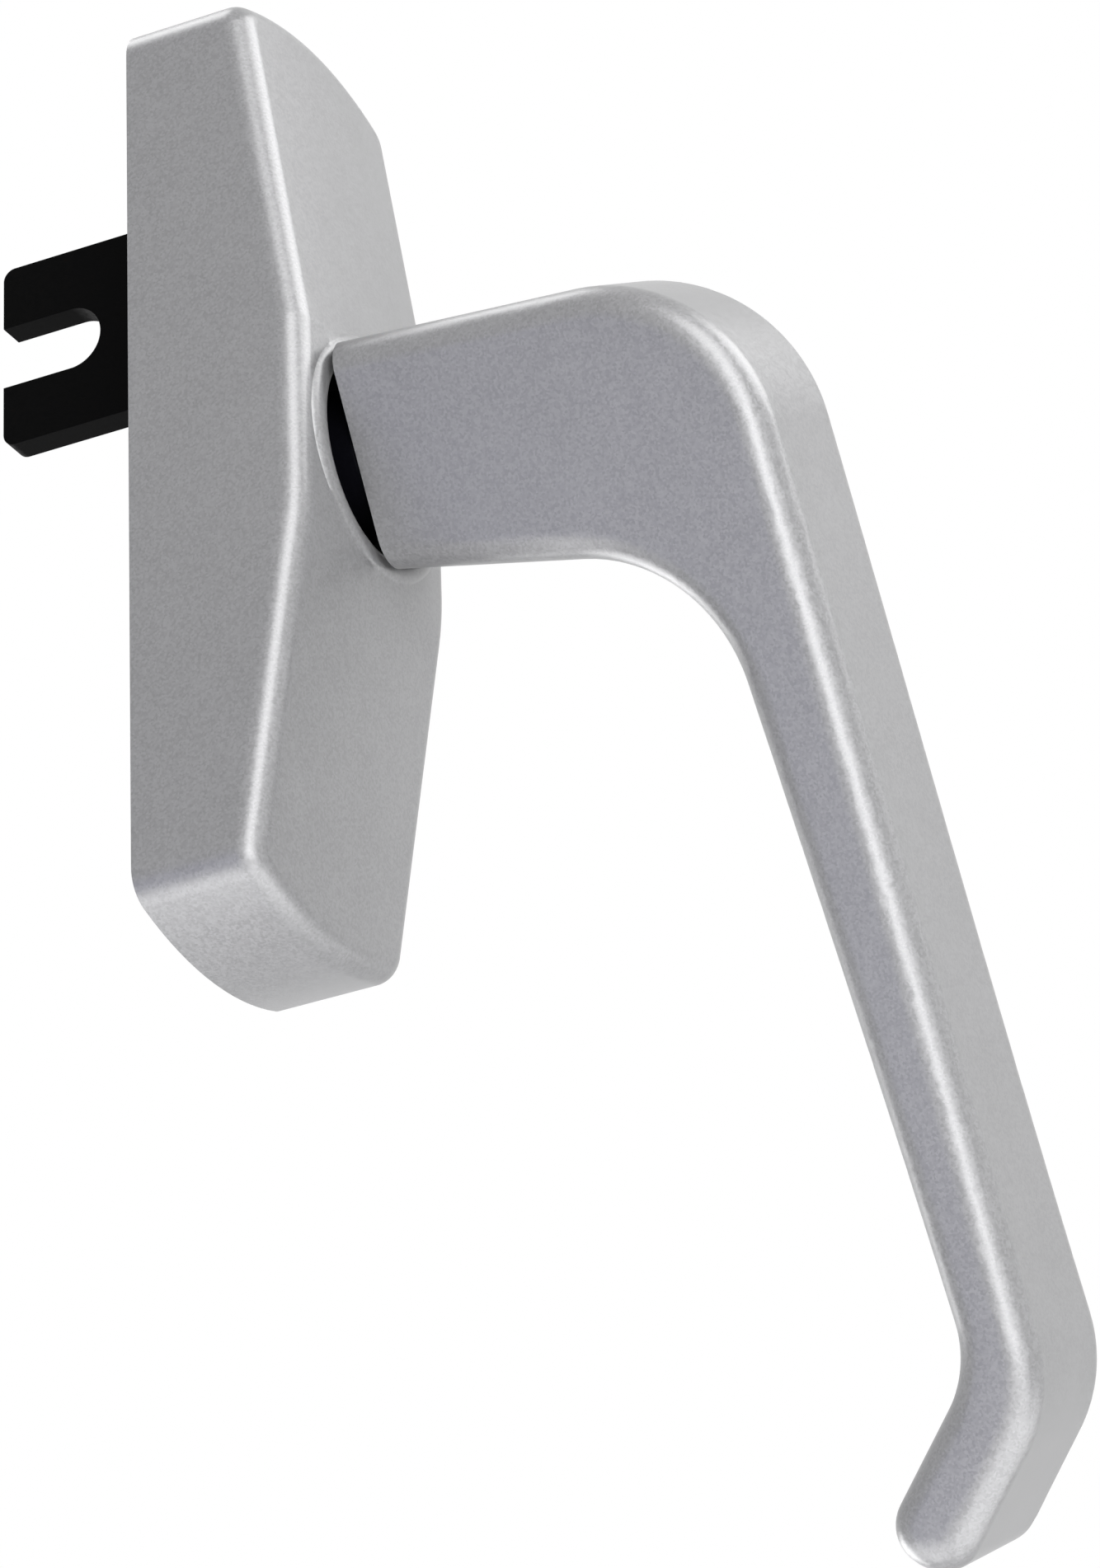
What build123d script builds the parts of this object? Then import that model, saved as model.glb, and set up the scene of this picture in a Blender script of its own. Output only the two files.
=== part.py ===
"""Rotary window handle with a rack drive: turning the lever slides a fork behind the housing.

Frame, in millimetres: X to the right as seen from the room, Z up along the housing, and -Y out
of the window towards the room. The origin is on the lever's turning axis, in the mounting plane.
"Out" is the distance from the mounting plane towards the room, so a point's Y is minus its out.
"""
import os
from math import atan, cos, pi, radians, sin, sqrt, tan
from build123d import *

# Pose in which the handle is stored: degrees that the lever is turned from hanging straight down.
REST_TURN = 30.0

# Housing
HOUSING_WIDTH = 34.3
SIDE_HEIGHT = 109.0
END_RISE = 3.5
MIDDLE_DROP = 0.9
OUTLINE_CORNER = 4.0
FRONT_OUT = 22.2
PLATEAU_HEIGHT = 24.0
FRONT_LEAN = 8.9
CROWN_DROP = 0.7
CREASE_RADIUS = 40.0
FRONT_EDGE_RADIUS = 3.0
WALL = 2.8
CAVITY_HEIGHT = 89.6
CAVITY_CORNER = 3.0

# Round recess that the lever's journal enters, with a low rim that is rounded on both sides
RECESS_RADIUS = 11.2
RECESS_FLOOR_OUT = 17.0
RECESS_FLOOR_THICKNESS = 3.0
RIM_WIDTH = 3.7
RIM_ROUNDING = 1.6
RIM_OUT = 22.4

# Fixing holes for two M5 screws that come through the window frame from behind
FIXING_SPACING = 99.0
FIXING_RADIUS = 2.1
FIXING_DEPTH = 11.0
CORE_DEPTH = 9.0
CORE_HEIGHT = 4.2

# Back plate and its four screws
PLATE_THICKNESS = 1.5
PLATE_LEDGE = 1.0
PLATE_SCREW_INSET_X = 5.3
PLATE_SCREW_INSET_Z = 3.2
PLATE_SCREW_RADIUS = 1.25
PLATE_SCREW_LENGTH = 8.0
SCREW_HEAD_RADIUS = 2.6
SCREW_BOSS_RADIUS = 2.6
DRIVE_RECESS_WIDTH = 0.8
DRIVE_RECESS_DEPTH = 0.7

# Lever: one casting, described hanging straight down, with "along" measured down from the axis
LEVER_ROOT_OUT = 23.5
NECK_ABOVE = 13.4
NECK_FALL = 3.7
NECK_BELOW = 12.5
NECK_SPREAD = 11.6
FLANK_LEAN = 2.55
BEND_WIDTH = 20.4
GRIP_WIDTH = 21.9
GRIP_START = 39.2
GRIP_END = 78.5
TIP_WIDTH = 25.4
GRIP_FACE_OUT = 71.75
GRIP_OUTER_LEAN = 1.25
GRIP_DEPTH = 12.9
GRIP_INNER_LEAN = 3.5
CURL_START = 117.7
CURL_TURN = 43.0
CURL_LENGTH = 23.8
CURL_THICKNESS = 10.0
OUTER_BEND_RADIUS = 20.4
INNER_BEND_RADIUS = 19.4
OUTER_CURL_RADIUS = 17.5
INNER_CURL_RADIUS = 12.0
TIP_RADIUS = 4.7
TIP_CORNER_HEIGHT = 7.0
TIP_CORNER_WIDTH = 3.6
LEVER_EDGE_RADIUS = 3.6
JOURNAL_RADIUS = 7.2

# Square spindle, pinion, washers and retaining screw
SPINDLE_SIDE = 7.9
SPINDLE_IN_LEVER = 21.0
GEAR_MODULE = 1.5
GEAR_TEETH = 12
PRESSURE_ANGLE = 20.0
FLANK_STEPS = 4
ADDENDUM = 1.0
DEDENDUM = 1.3
BACKLASH = 0.3
GEAR_WIDTH = 5.2
CAM_RADIUS = 10.5
CAM_WIDTH = 4.5
CAM_NOTCHES = 4
NOTCH_DEPTH = 0.8
REAR_JOURNAL_RADIUS = 6.0
REAR_JOURNAL_SETBACK = 0.3
THRUST_WASHER_THICKNESS = 0.8
WASHER_THICKNESS = 1.0
WASHER_RADIUS = 4.5
M5_RADIUS = 2.1
M5_HEAD_RADIUS = 4.0
M5_HEAD_HEIGHT = 1.6
M5_LENGTH = 10.0

# Neck bush
BUSH_WALL = 1.45
BUSH_FLANGE_THICKNESS = 1.5

# Detents: a sprung ball above and below the cam
BALL_RADIUS = 2.25
DETENT_BLOCK_WIDTH = 8.4
DETENT_BLOCK_END = 29.0
DETENT_BORE_END = 27.0
SPRING_WIRE_RADIUS = 0.3
SPRING_WIRE_SIDES = 6
SPRING_TURNS = 6

# Rack slider and drive fork, described with the lever closed
SLIDER_THICKNESS = 5.5
SLIDER_SIDE_GAP = 0.3
RACK_TEETH = 7
RACK_TOP_TEETH = 2
BRIDGE_HEIGHT = 13.6
BRIDGE_GAP = 1.2
FORK_CENTRE_CLOSED = 21.85
FORK_HEIGHT = 23.4
FORK_THICKNESS = 3.4
FORK_REACH = 25.4
FORK_SHOULDER = 2.5
FORK_SLOT_WIDTH = 7.8
FORK_SLOT_DEPTH = 12.8
FORK_CORNER_RADIUS = 1.5
FORK_TAB_HEIGHT = 12.6
TENON_HEIGHT = 4.0

# Working range, for the slot that the fork travels in
LEVER_TRAVEL = 90.0

# Clearances
SEAT = 0.05
RUNNING = 0.05
SLIDING = 0.2
FREE = 0.5

# How near an edge's middle lies to the place that it is picked by
NEAR = 1.0

# Values that follow from the sizes above
HALF_WIDTH = HOUSING_WIDTH / 2
HALF_SIDE = SIDE_HEIGHT / 2
HALF_PLATEAU = PLATEAU_HEIGHT / 2
CAVITY_HALF_WIDTH = HALF_WIDTH - WALL
CAVITY_HALF_HEIGHT = CAVITY_HEIGHT / 2
CROWN_RADIUS = (HALF_WIDTH ** 2 + CROWN_DROP ** 2) / (2 * CROWN_DROP)
PITCH_RADIUS = GEAR_MODULE * GEAR_TEETH / 2
PITCH = pi * GEAR_MODULE
SLIDE_AT_REST = PITCH_RADIUS * radians(REST_TURN)
SLIDE_TRAVEL = PITCH_RADIUS * radians(LEVER_TRAVEL)
BUSH_INNER_OUT = RECESS_FLOOR_OUT - RECESS_FLOOR_THICKNESS
CAM_FACE_OUT = BUSH_INNER_OUT - SLIDING - THRUST_WASHER_THICKNESS
CAM_BACK_OUT = CAM_FACE_OUT - CAM_WIDTH
CAM_MID_OUT = CAM_FACE_OUT - CAM_WIDTH / 2
SLIDER_BACK_OUT = PLATE_THICKNESS + SLIDING
SLIDER_FRONT_OUT = SLIDER_BACK_OUT + SLIDER_THICKNESS
GUIDE_OUT = SLIDER_FRONT_OUT + SLIDING
GEAR_BACK_OUT = PLATE_THICKNESS + FREE
PINION_FLOOR_OUT = REAR_JOURNAL_SETBACK + M5_HEAD_HEIGHT + WASHER_THICKNESS
BUSH_RADIUS = JOURNAL_RADIUS + RUNNING + BUSH_WALL
BUSH_FLANGE_RADIUS = RECESS_RADIUS - SLIDING
BALL_CENTRE = CAM_RADIUS + SEAT + BALL_RADIUS
BRIDGE_BOTTOM = PITCH_RADIUS + ADDENDUM + BRIDGE_GAP
BRIDGE_TOP = BRIDGE_BOTTOM + BRIDGE_HEIGHT
BRIDGE_HALF_WIDTH = CAVITY_HALF_WIDTH - SLIDER_SIDE_GAP
TAB_CENTRE = (BRIDGE_BOTTOM + BRIDGE_TOP) / 2
PLATE_HALF_WIDTH = CAVITY_HALF_WIDTH + PLATE_LEDGE
PLATE_HALF_HEIGHT = CAVITY_HALF_HEIGHT + PLATE_LEDGE


def disc(radius, out_from, out_to, x=0.0, z=0.0):
    """Round bar along the turning axis' direction, between two distances out."""
    circle = Plane.XZ.offset(out_from) * Pos(x, z) * Circle(radius)
    return extrude(circle, amount=out_to - out_from)


def slab(x_from, x_to, out_from, out_to, z_from, z_to):
    """Rectangular block given by its limits."""
    size = (x_to - x_from, out_to - out_from, z_to - z_from)
    centre = ((x_from + x_to) / 2, -(out_from + out_to) / 2, (z_from + z_to) / 2)
    return Pos(*centre) * Box(*size)


def prism(face, out_from, out_to):
    """A face drawn in the mounting plane, extruded between two distances out."""
    return extrude(Plane.XZ.offset(out_from) * face, amount=out_to - out_from)


def turned(piece):
    """A piece of the lever, turned from hanging down to the stored pose."""
    return Rot(0, -REST_TURN, 0) * piece


def slid(piece):
    """A piece of the slider, moved from the closed position to the stored pose."""
    return Pos(0, 0, SLIDE_AT_REST) * piece


def front_out_at(z):
    """Distance out of the front's middle line at a height."""
    past_plateau = max(abs(z) - HALF_PLATEAU, 0.0)
    return FRONT_OUT - past_plateau * tan(radians(FRONT_LEAN))


def ceiling_out_at(z):
    """Distance out of the cavity's ceiling at a height."""
    return front_out_at(z) - CROWN_DROP - WALL


def housing_blank():
    """Outer form: arched ends, a level middle, two leaning halves, and a crown across the width."""
    top = (0, HALF_SIDE + END_RISE)
    bottom = (0, -HALF_SIDE - END_RISE)
    outline = [
        Line((-HALF_WIDTH, -HALF_SIDE), (-HALF_WIDTH, HALF_SIDE)),
        ThreePointArc((-HALF_WIDTH, HALF_SIDE), top, (HALF_WIDTH, HALF_SIDE)),
        Line((HALF_WIDTH, HALF_SIDE), (HALF_WIDTH, -HALF_SIDE)),
        ThreePointArc((HALF_WIDTH, -HALF_SIDE), bottom, (-HALF_WIDTH, -HALF_SIDE)),
    ]
    face = make_face(outline)
    face = fillet(face.vertices(), OUTLINE_CORNER)
    blank = prism(face, 0, FRONT_OUT + CROWN_DROP)
    crown = Pos(0, CROWN_RADIUS, 0) * Cylinder(CROWN_RADIUS, 2 * SIDE_HEIGHT)
    blank = blank & (Pos(0, -FRONT_OUT, 0) * crown)
    for side in (1, -1):
        lean = Pos(0, -FRONT_OUT, side * HALF_PLATEAU) * Rot(-side * FRONT_LEAN, 0, 0)
        blank = blank & (lean * crown)
    creases = [
        edge
        for edge in blank.edges()
        if abs(edge.center().X) < NEAR
        and abs(abs(edge.center().Z) - HALF_PLATEAU) < NEAR
        and edge.center().Y < -WALL
    ]
    blank = fillet(creases, CREASE_RADIUS)
    rim = [
        edge
        for edge in blank.edges()
        if edge.center().Y < -FRONT_OUT / 2
        and not (abs(edge.center().X) < HALF_WIDTH / 2 and abs(edge.center().Z) < HALF_SIDE / 2)
        and abs(edge.bounding_box().size.X) + abs(edge.bounding_box().size.Z) > SEAT
    ]
    return Pos(0, 0, -MIDDLE_DROP) * fillet(rim, FRONT_EDGE_RADIUS)


def with_rim(blank):
    """The outer form with a rounded rim let into its front, round the journal's recess."""
    ring = disc(RECESS_RADIUS + RIM_WIDTH, RECESS_FLOOR_OUT, RIM_OUT)
    ring -= disc(RECESS_RADIUS, RECESS_FLOOR_OUT, RIM_OUT)
    ring = fillet(ring.edges().group_by(Axis.Y)[0], RIM_ROUNDING)
    room = disc(RECESS_RADIUS + RIM_WIDTH / 2, RECESS_FLOOR_OUT, RIM_OUT)
    return blank - room + ring


def cavity():
    """Space for the mechanism, open to the back, with a ceiling that follows the front."""
    half = CAVITY_HALF_HEIGHT
    profile = Polyline(
        (0, -half),
        (-ceiling_out_at(half), -half),
        (-ceiling_out_at(0), -HALF_PLATEAU),
        (-ceiling_out_at(0), HALF_PLATEAU),
        (-ceiling_out_at(half), half),
        (0, half),
        close=True,
    )
    space = extrude(Plane.YZ * make_face(profile), amount=CAVITY_HALF_WIDTH, both=True)
    corners = space.edges().filter_by(Axis.Y)
    return fillet(corners, CAVITY_CORNER)


def housing():
    """Die-cast housing: outer form, cavity, journal recess, detent blocks, guides and bosses."""
    space = cavity()
    inside = disc(RECESS_RADIUS + WALL, BUSH_INNER_OUT, FRONT_OUT)
    block_x = DETENT_BLOCK_WIDTH / 2
    block_near = CAM_RADIUS + FREE
    for z_from, z_to in ((block_near, DETENT_BLOCK_END), (-DETENT_BLOCK_END, -block_near)):
        inside += slab(-block_x, block_x, GUIDE_OUT, FRONT_OUT, z_from, z_to)
    guide_top = BRIDGE_TOP + SLIDE_TRAVEL
    rack_bottom = (RACK_TOP_TEETH - RACK_TEETH) * PITCH
    guide_inner = CAM_RADIUS + FREE
    inside += slab(guide_inner, HALF_WIDTH, GUIDE_OUT, FRONT_OUT, rack_bottom, guide_top)
    inside += slab(-HALF_WIDTH, -guide_inner, GUIDE_OUT, FRONT_OUT, BRIDGE_BOTTOM, guide_top)
    for x, z in plate_screw_places():
        inside += disc(SCREW_BOSS_RADIUS, PLATE_THICKNESS, FRONT_OUT, x, z)
    body = with_rim(housing_blank()) - space + (inside & space)

    body -= disc(RECESS_RADIUS, RECESS_FLOOR_OUT, RIM_OUT)
    body -= disc(BUSH_RADIUS + SEAT, BUSH_INNER_OUT - FREE, RECESS_FLOOR_OUT + FREE)
    body -= prism(plate_outline(SEAT), 0, PLATE_THICKNESS)
    for side in (1, -1):
        upwards = (Align.CENTER, Align.CENTER, Align.MIN)
        bore = Cylinder(BALL_RADIUS + RUNNING, DETENT_BORE_END, align=upwards)
        body -= Pos(0, -CAM_MID_OUT, 0) * Rot(0 if side > 0 else 180, 0, 0) * bore & bore_zone(side)
        body -= disc(FIXING_RADIUS, 0, FIXING_DEPTH, 0, side * FIXING_SPACING / 2)
        for core_side in (1, -1):
            body -= end_core(core_side, side)
    screw_end = PLATE_THICKNESS + PLATE_SCREW_LENGTH
    for x, z in plate_screw_places():
        body -= disc(PLATE_SCREW_RADIUS + SEAT, PLATE_THICKNESS, screw_end, x, z)
    return body


def bore_zone(side):
    """The half of the housing, above or below the cam, that a detent's bore may cut."""
    near = side * CAM_RADIUS
    far = side * DETENT_BORE_END
    return slab(-HALF_WIDTH, HALF_WIDTH, 0, FRONT_OUT, min(near, far), max(near, far))


def end_core(x_side, z_side):
    """Pocket beside a fixing hole that keeps the casting's end at an even wall."""
    inner = FIXING_RADIUS + WALL
    x_limits = sorted((x_side * inner, x_side * CAVITY_HALF_WIDTH))
    low = PLATE_HALF_HEIGHT + WALL / 2
    z_limits = sorted((z_side * low, z_side * (low + CORE_HEIGHT)))
    return slab(*x_limits, 0, CORE_DEPTH, *z_limits)


def plate_outline(grow):
    """Outline of the back plate, grown by a clearance."""
    return RectangleRounded(
        2 * (PLATE_HALF_WIDTH + grow), 2 * (PLATE_HALF_HEIGHT + grow), CAVITY_CORNER + PLATE_LEDGE
    )


def plate_screw_places():
    """X and Z of the back plate's screws."""
    from_middle = CAVITY_HALF_WIDTH - PLATE_SCREW_INSET_X
    from_axis = CAVITY_HALF_HEIGHT - PLATE_SCREW_INSET_Z
    return [(x * from_middle, z * from_axis) for x in (1, -1) for z in (1, -1)]


def back_plate():
    """Steel sheet that closes the cavity, with the fork's slot and the pinion's rear bearing."""
    plate = prism(plate_outline(0), 0, PLATE_THICKNESS)
    plate -= disc(REAR_JOURNAL_RADIUS + RUNNING, 0, PLATE_THICKNESS)
    slot_low = TAB_CENTRE - FORK_TAB_HEIGHT / 2 - FREE
    slot_high = TAB_CENTRE + FORK_TAB_HEIGHT / 2 + SLIDE_TRAVEL + FREE
    slot_half = FORK_THICKNESS / 2 + SLIDING
    plate -= slab(-slot_half, slot_half, 0, PLATE_THICKNESS, slot_low, slot_high)
    for x, z in plate_screw_places():
        plate -= screw_form(x, z, SEAT)
    return plate


def screw_form(x, z, grow):
    """Countersunk screw of the back plate, grown by a clearance for its hole."""
    shank = disc(PLATE_SCREW_RADIUS + grow, 0, PLATE_SCREW_LENGTH, x, z)
    rim = Plane.XZ * Pos(x, z) * Circle(SCREW_HEAD_RADIUS + grow)
    root = Plane.XZ.offset(PLATE_THICKNESS) * Pos(x, z) * Circle(PLATE_SCREW_RADIUS + grow)
    return shank + loft([rim, root])


def cross_recess(x, z, out_from, depth, width, length):
    """Crossed slots of a screw's drive, cut from the back."""
    bar = slab(x - length / 2, x + length / 2, out_from, out_from + depth, z - width / 2, z + width / 2)
    post = slab(x - width / 2, x + width / 2, out_from, out_from + depth, z - length / 2, z + length / 2)
    return bar + post


def back_plate_screws():
    """Four countersunk screws with cross recesses."""
    screws = []
    for x, z in plate_screw_places():
        drive = cross_recess(x, z, 0, DRIVE_RECESS_DEPTH, DRIVE_RECESS_WIDTH, SCREW_HEAD_RADIUS)
        screws.append(screw_form(x, z, 0) - drive)
    return Compound(screws)


def neck_bush():
    """Nylon bush that the lever's journal turns in, with a flange on the recess floor."""
    bush = disc(BUSH_RADIUS, BUSH_INNER_OUT, LEVER_ROOT_OUT - SLIDING)
    bush += disc(BUSH_FLANGE_RADIUS, RECESS_FLOOR_OUT, RECESS_FLOOR_OUT + BUSH_FLANGE_THICKNESS)
    return bush - disc(JOURNAL_RADIUS + RUNNING, BUSH_INNER_OUT, LEVER_ROOT_OUT)


def detent_ball(side):
    """Steel ball that rides on the cam."""
    return Pos(0, -CAM_MID_OUT, side * BALL_CENTRE) * Sphere(BALL_RADIUS)


def detent_spring(side):
    """Compression spring behind a detent ball."""
    coil_radius = BALL_RADIUS - SPRING_WIRE_RADIUS - RUNNING
    start = BALL_CENTRE + sqrt(BALL_RADIUS ** 2 - coil_radius ** 2) + 2 * SPRING_WIRE_RADIUS
    length = DETENT_BORE_END - SPRING_WIRE_RADIUS - RUNNING - start
    path = Helix(length / SPRING_TURNS, length, coil_radius)
    section = RegularPolygon(SPRING_WIRE_RADIUS, SPRING_WIRE_SIDES)
    wire = sweep(Plane(path @ 0, z_dir=path % 0) * section, path=path, is_frenet=True)
    return Pos(0, -CAM_MID_OUT, 0) * Rot(0 if side > 0 else 180, 0, 0) * Pos(0, 0, start) * wire


def lever_corners():
    """Corner points of the lever's side view, hanging down, as distance out and distance along."""
    neck_slope = tan(radians(NECK_FALL))
    outer_slope = tan(radians(GRIP_OUTER_LEAN))
    inner_slope = tan(radians(GRIP_INNER_LEAN))
    under_slope = tan(radians(NECK_SPREAD))
    along_curl, across_curl = curl_directions()

    neck_reach = GRIP_FACE_OUT - LEVER_ROOT_OUT
    bend_along = (neck_reach * neck_slope - NECK_ABOVE) / (1 - outer_slope * neck_slope)
    outer_bend = Vector(GRIP_FACE_OUT + bend_along * outer_slope, bend_along)
    outer_curl = Vector(GRIP_FACE_OUT + CURL_START * outer_slope, CURL_START)
    tip_outer = outer_curl + along_curl * CURL_LENGTH
    tip_inner = tip_outer + across_curl * CURL_THICKNESS
    inner_out = GRIP_FACE_OUT - GRIP_DEPTH
    under_drop = NECK_BELOW + (inner_out - LEVER_ROOT_OUT) * under_slope
    under_along = under_drop / (1 - inner_slope * under_slope)
    inner_bend = Vector(inner_out + under_along * inner_slope, under_along)
    past_line = tip_inner.X - inner_out - tip_inner.Y * inner_slope
    inner_curl = tip_inner - along_curl * (past_line / (along_curl.X - along_curl.Y * inner_slope))
    return {
        "root_top": Vector(LEVER_ROOT_OUT, -NECK_ABOVE),
        "outer_bend": outer_bend,
        "outer_curl": outer_curl,
        "tip_outer": tip_outer,
        "tip_inner": tip_inner,
        "inner_curl": inner_curl,
        "inner_bend": inner_bend,
        "root_bottom": Vector(LEVER_ROOT_OUT, NECK_BELOW),
    }


def curl_directions():
    """Directions along the curled tip and across its thickness, as out and along."""
    curl = radians(CURL_TURN)
    return Vector(-sin(curl), cos(curl)), Vector(-cos(curl), -sin(curl))


def lever_profile(corners):
    """Side view of the lever, hanging down: neck, bend, grip and curled tip."""
    bends = {
        "outer_bend": OUTER_BEND_RADIUS,
        "outer_curl": OUTER_CURL_RADIUS,
        "tip_outer": TIP_RADIUS,
        "tip_inner": TIP_RADIUS,
        "inner_curl": INNER_CURL_RADIUS,
        "inner_bend": INNER_BEND_RADIUS,
    }
    face = make_face(Polyline(*[(-point.X, -point.Y) for point in corners.values()], close=True))
    for name, radius in bends.items():
        point = corners[name]
        corner = face.vertices().sort_by_distance((-point.X, -point.Y, 0))[0]
        face = fillet(corner, radius)
    return face


def beside_flank():
    """Space beside the lever's right flank, which leans in, widens and rounds off at the tip."""
    tip_along = CURL_START + CURL_LENGTH * cos(radians(CURL_TURN))
    top = NECK_ABOVE + OUTER_BEND_RADIUS
    widest = (TIP_WIDTH / 2, TIP_CORNER_HEIGHT - tip_along)
    grip_start = (GRIP_WIDTH / 2, -GRIP_START)
    grip_end = (GRIP_WIDTH / 2, -GRIP_END)
    edge = Spline((BEND_WIDTH / 2, top), grip_start, grip_end, widest)
    corner = TangentArc(edge @ 1, (TIP_WIDTH / 2 - TIP_CORNER_WIDTH, -tip_along), tangent=edge % 1)
    border = Polyline(corner @ 1, (TIP_WIDTH, -tip_along), (TIP_WIDTH, top), edge @ 0)
    side = Plane.XZ.offset(GRIP_FACE_OUT) * make_face(edge.edges() + corner.edges() + border.edges())
    lean = tan(radians(FLANK_LEAN))
    inwards = extrude(side, amount=GRIP_FACE_OUT, dir=(-lean, 1, 0))
    return inwards + extrude(side, amount=GRIP_DEPTH, dir=(lean, -1, 0))


def lever():
    """Die-cast lever with flanks that widen towards the tip, and its journal."""
    body = extrude(Plane.YZ * lever_profile(lever_corners()), amount=TIP_WIDTH / 2, both=True)
    flank = beside_flank()
    body -= flank
    body -= mirror(flank, about=Plane.YZ)
    rim = [
        edge
        for edge in body.edges()
        if abs(edge.center().X) > GRIP_WIDTH / 4 and edge.center().Y < -LEVER_ROOT_OUT - SEAT
    ]
    body = fillet(rim, LEVER_EDGE_RADIUS)
    body += disc(JOURNAL_RADIUS, CAM_FACE_OUT, LEVER_ROOT_OUT)
    socket = SPINDLE_SIDE / 2 + SEAT
    body -= slab(-socket, socket, CAM_FACE_OUT, LEVER_ROOT_OUT + SPINDLE_IN_LEVER, -socket, socket)
    return turned(body)


def spindle():
    """Square steel bar from the lever into the pinion, tapped for the retaining screw."""
    half = SPINDLE_SIDE / 2
    back = PINION_FLOOR_OUT + SLIDING
    bar = slab(-half, half, back, LEVER_ROOT_OUT + SPINDLE_IN_LEVER - SEAT, -half, half)
    return turned(bar - disc(M5_RADIUS + SEAT, back, back + M5_LENGTH))


def involute_point(base_radius, radius, half_angle_at_base):
    """Point of an involute flank at a radius, on the side of positive angles."""
    roll = sqrt((radius / base_radius) ** 2 - 1)
    angle = half_angle_at_base - (roll - atan(roll))
    return radius * cos(angle), radius * sin(angle)


def gear_tooth():
    """One involute tooth centred on +X, from inside the root circle to the tip circle."""
    pressure = radians(PRESSURE_ANGLE)
    base_radius = PITCH_RADIUS * cos(pressure)
    tip_radius = PITCH_RADIUS + ADDENDUM
    half_at_pitch = (PITCH - BACKLASH) / 4 / PITCH_RADIUS
    half_at_base = half_at_pitch + tan(pressure) - pressure
    height = (tip_radius - base_radius) / FLANK_STEPS
    radii = [base_radius + height * step for step in range(FLANK_STEPS + 1)]
    upper = [involute_point(base_radius, radius, half_at_base) for radius in radii]
    lower = [(x, -y) for x, y in upper]
    inner = PITCH_RADIUS - DEDENDUM - ADDENDUM
    inner_y = inner * sin(half_at_base)
    outline = [
        Line((inner, -inner_y), lower[0]),
        Spline(*lower),
        ThreePointArc(lower[-1], (tip_radius, 0), upper[-1]),
        Spline(*reversed(upper)),
        Line(upper[0], (inner, inner_y)),
        Line((inner, inner_y), (inner, -inner_y)),
    ]
    return make_face(outline)


def pinion():
    """Pinion with a notched cam in front, a journal behind and a square hole."""
    gear_front = SLIDER_FRONT_OUT
    body = disc(PITCH_RADIUS - DEDENDUM, GEAR_BACK_OUT, CAM_BACK_OUT)
    tooth = prism(gear_tooth(), gear_front - GEAR_WIDTH, gear_front)
    for index in range(GEAR_TEETH):
        body += Rot(0, 360 * index / GEAR_TEETH, 0) * tooth
    cam = disc(CAM_RADIUS, CAM_BACK_OUT, CAM_FACE_OUT)
    notch_centre = CAM_RADIUS + BALL_RADIUS - NOTCH_DEPTH
    for index in range(CAM_NOTCHES):
        notch = disc(BALL_RADIUS, CAM_BACK_OUT, CAM_FACE_OUT, notch_centre, 0)
        cam -= Rot(0, 360 * index / CAM_NOTCHES, 0) * notch
    body += cam
    body += disc(REAR_JOURNAL_RADIUS, REAR_JOURNAL_SETBACK, GEAR_BACK_OUT)
    body -= disc(WASHER_RADIUS + SLIDING, REAR_JOURNAL_SETBACK, PINION_FLOOR_OUT)
    hole = SPINDLE_SIDE / 2 + SEAT
    body -= slab(-hole, hole, PINION_FLOOR_OUT, CAM_FACE_OUT, -hole, hole)
    return turned(body)


def thrust_washer():
    """Steel ring between the cam and the housing."""
    outer = disc(CAM_RADIUS - NOTCH_DEPTH, CAM_FACE_OUT, CAM_FACE_OUT + THRUST_WASHER_THICKNESS)
    hole = disc(JOURNAL_RADIUS + SEAT, CAM_FACE_OUT, CAM_FACE_OUT + THRUST_WASHER_THICKNESS)
    return turned(outer - hole)


def retaining_washer():
    """Washer under the retaining screw's head."""
    washer = disc(WASHER_RADIUS, PINION_FLOOR_OUT - WASHER_THICKNESS, PINION_FLOOR_OUT)
    return turned(washer - disc(M5_RADIUS + SLIDING, 0, PINION_FLOOR_OUT))


def retaining_screw():
    """M5 screw that draws the pinion onto the lever's journal."""
    head_out = PINION_FLOOR_OUT - WASHER_THICKNESS
    head = disc(M5_HEAD_RADIUS, head_out - M5_HEAD_HEIGHT, head_out)
    screw = head + disc(M5_RADIUS, head_out, head_out + M5_LENGTH)
    drive = cross_recess(0, 0, 0, head_out - M5_HEAD_HEIGHT / 2, DRIVE_RECESS_WIDTH, M5_HEAD_RADIUS)
    return turned(screw - drive)


def rack_outline():
    """Front view of the rack bar and bridge, with straight-sided teeth."""
    flank = tan(radians(PRESSURE_ANGLE))
    tip = PITCH_RADIUS - ADDENDUM
    root = PITCH_RADIUS + DEDENDUM
    half_pitch_width = (PITCH - BACKLASH) / 4
    half_tip = half_pitch_width - ADDENDUM * flank
    half_root = half_pitch_width + DEDENDUM * flank
    first = RACK_TOP_TEETH - RACK_TEETH
    points = [(BRIDGE_HALF_WIDTH, first * PITCH), (root, first * PITCH)]
    for index in range(RACK_TEETH):
        centre = (first + index + 0.5) * PITCH
        points += [(root, centre - half_root), (tip, centre - half_tip)]
        points += [(tip, centre + half_tip), (root, centre + half_root)]
    points += [(root, BRIDGE_BOTTOM), (-BRIDGE_HALF_WIDTH, BRIDGE_BOTTOM)]
    points += [(-BRIDGE_HALF_WIDTH, BRIDGE_TOP), (BRIDGE_HALF_WIDTH, BRIDGE_TOP)]
    return make_face(Polyline(*points, close=True))


def tenon_places():
    """Heights of the fork's two tenons, with the lever closed."""
    offset = (FORK_TAB_HEIGHT - TENON_HEIGHT) / 2
    return [TAB_CENTRE - offset, TAB_CENTRE + offset]


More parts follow.
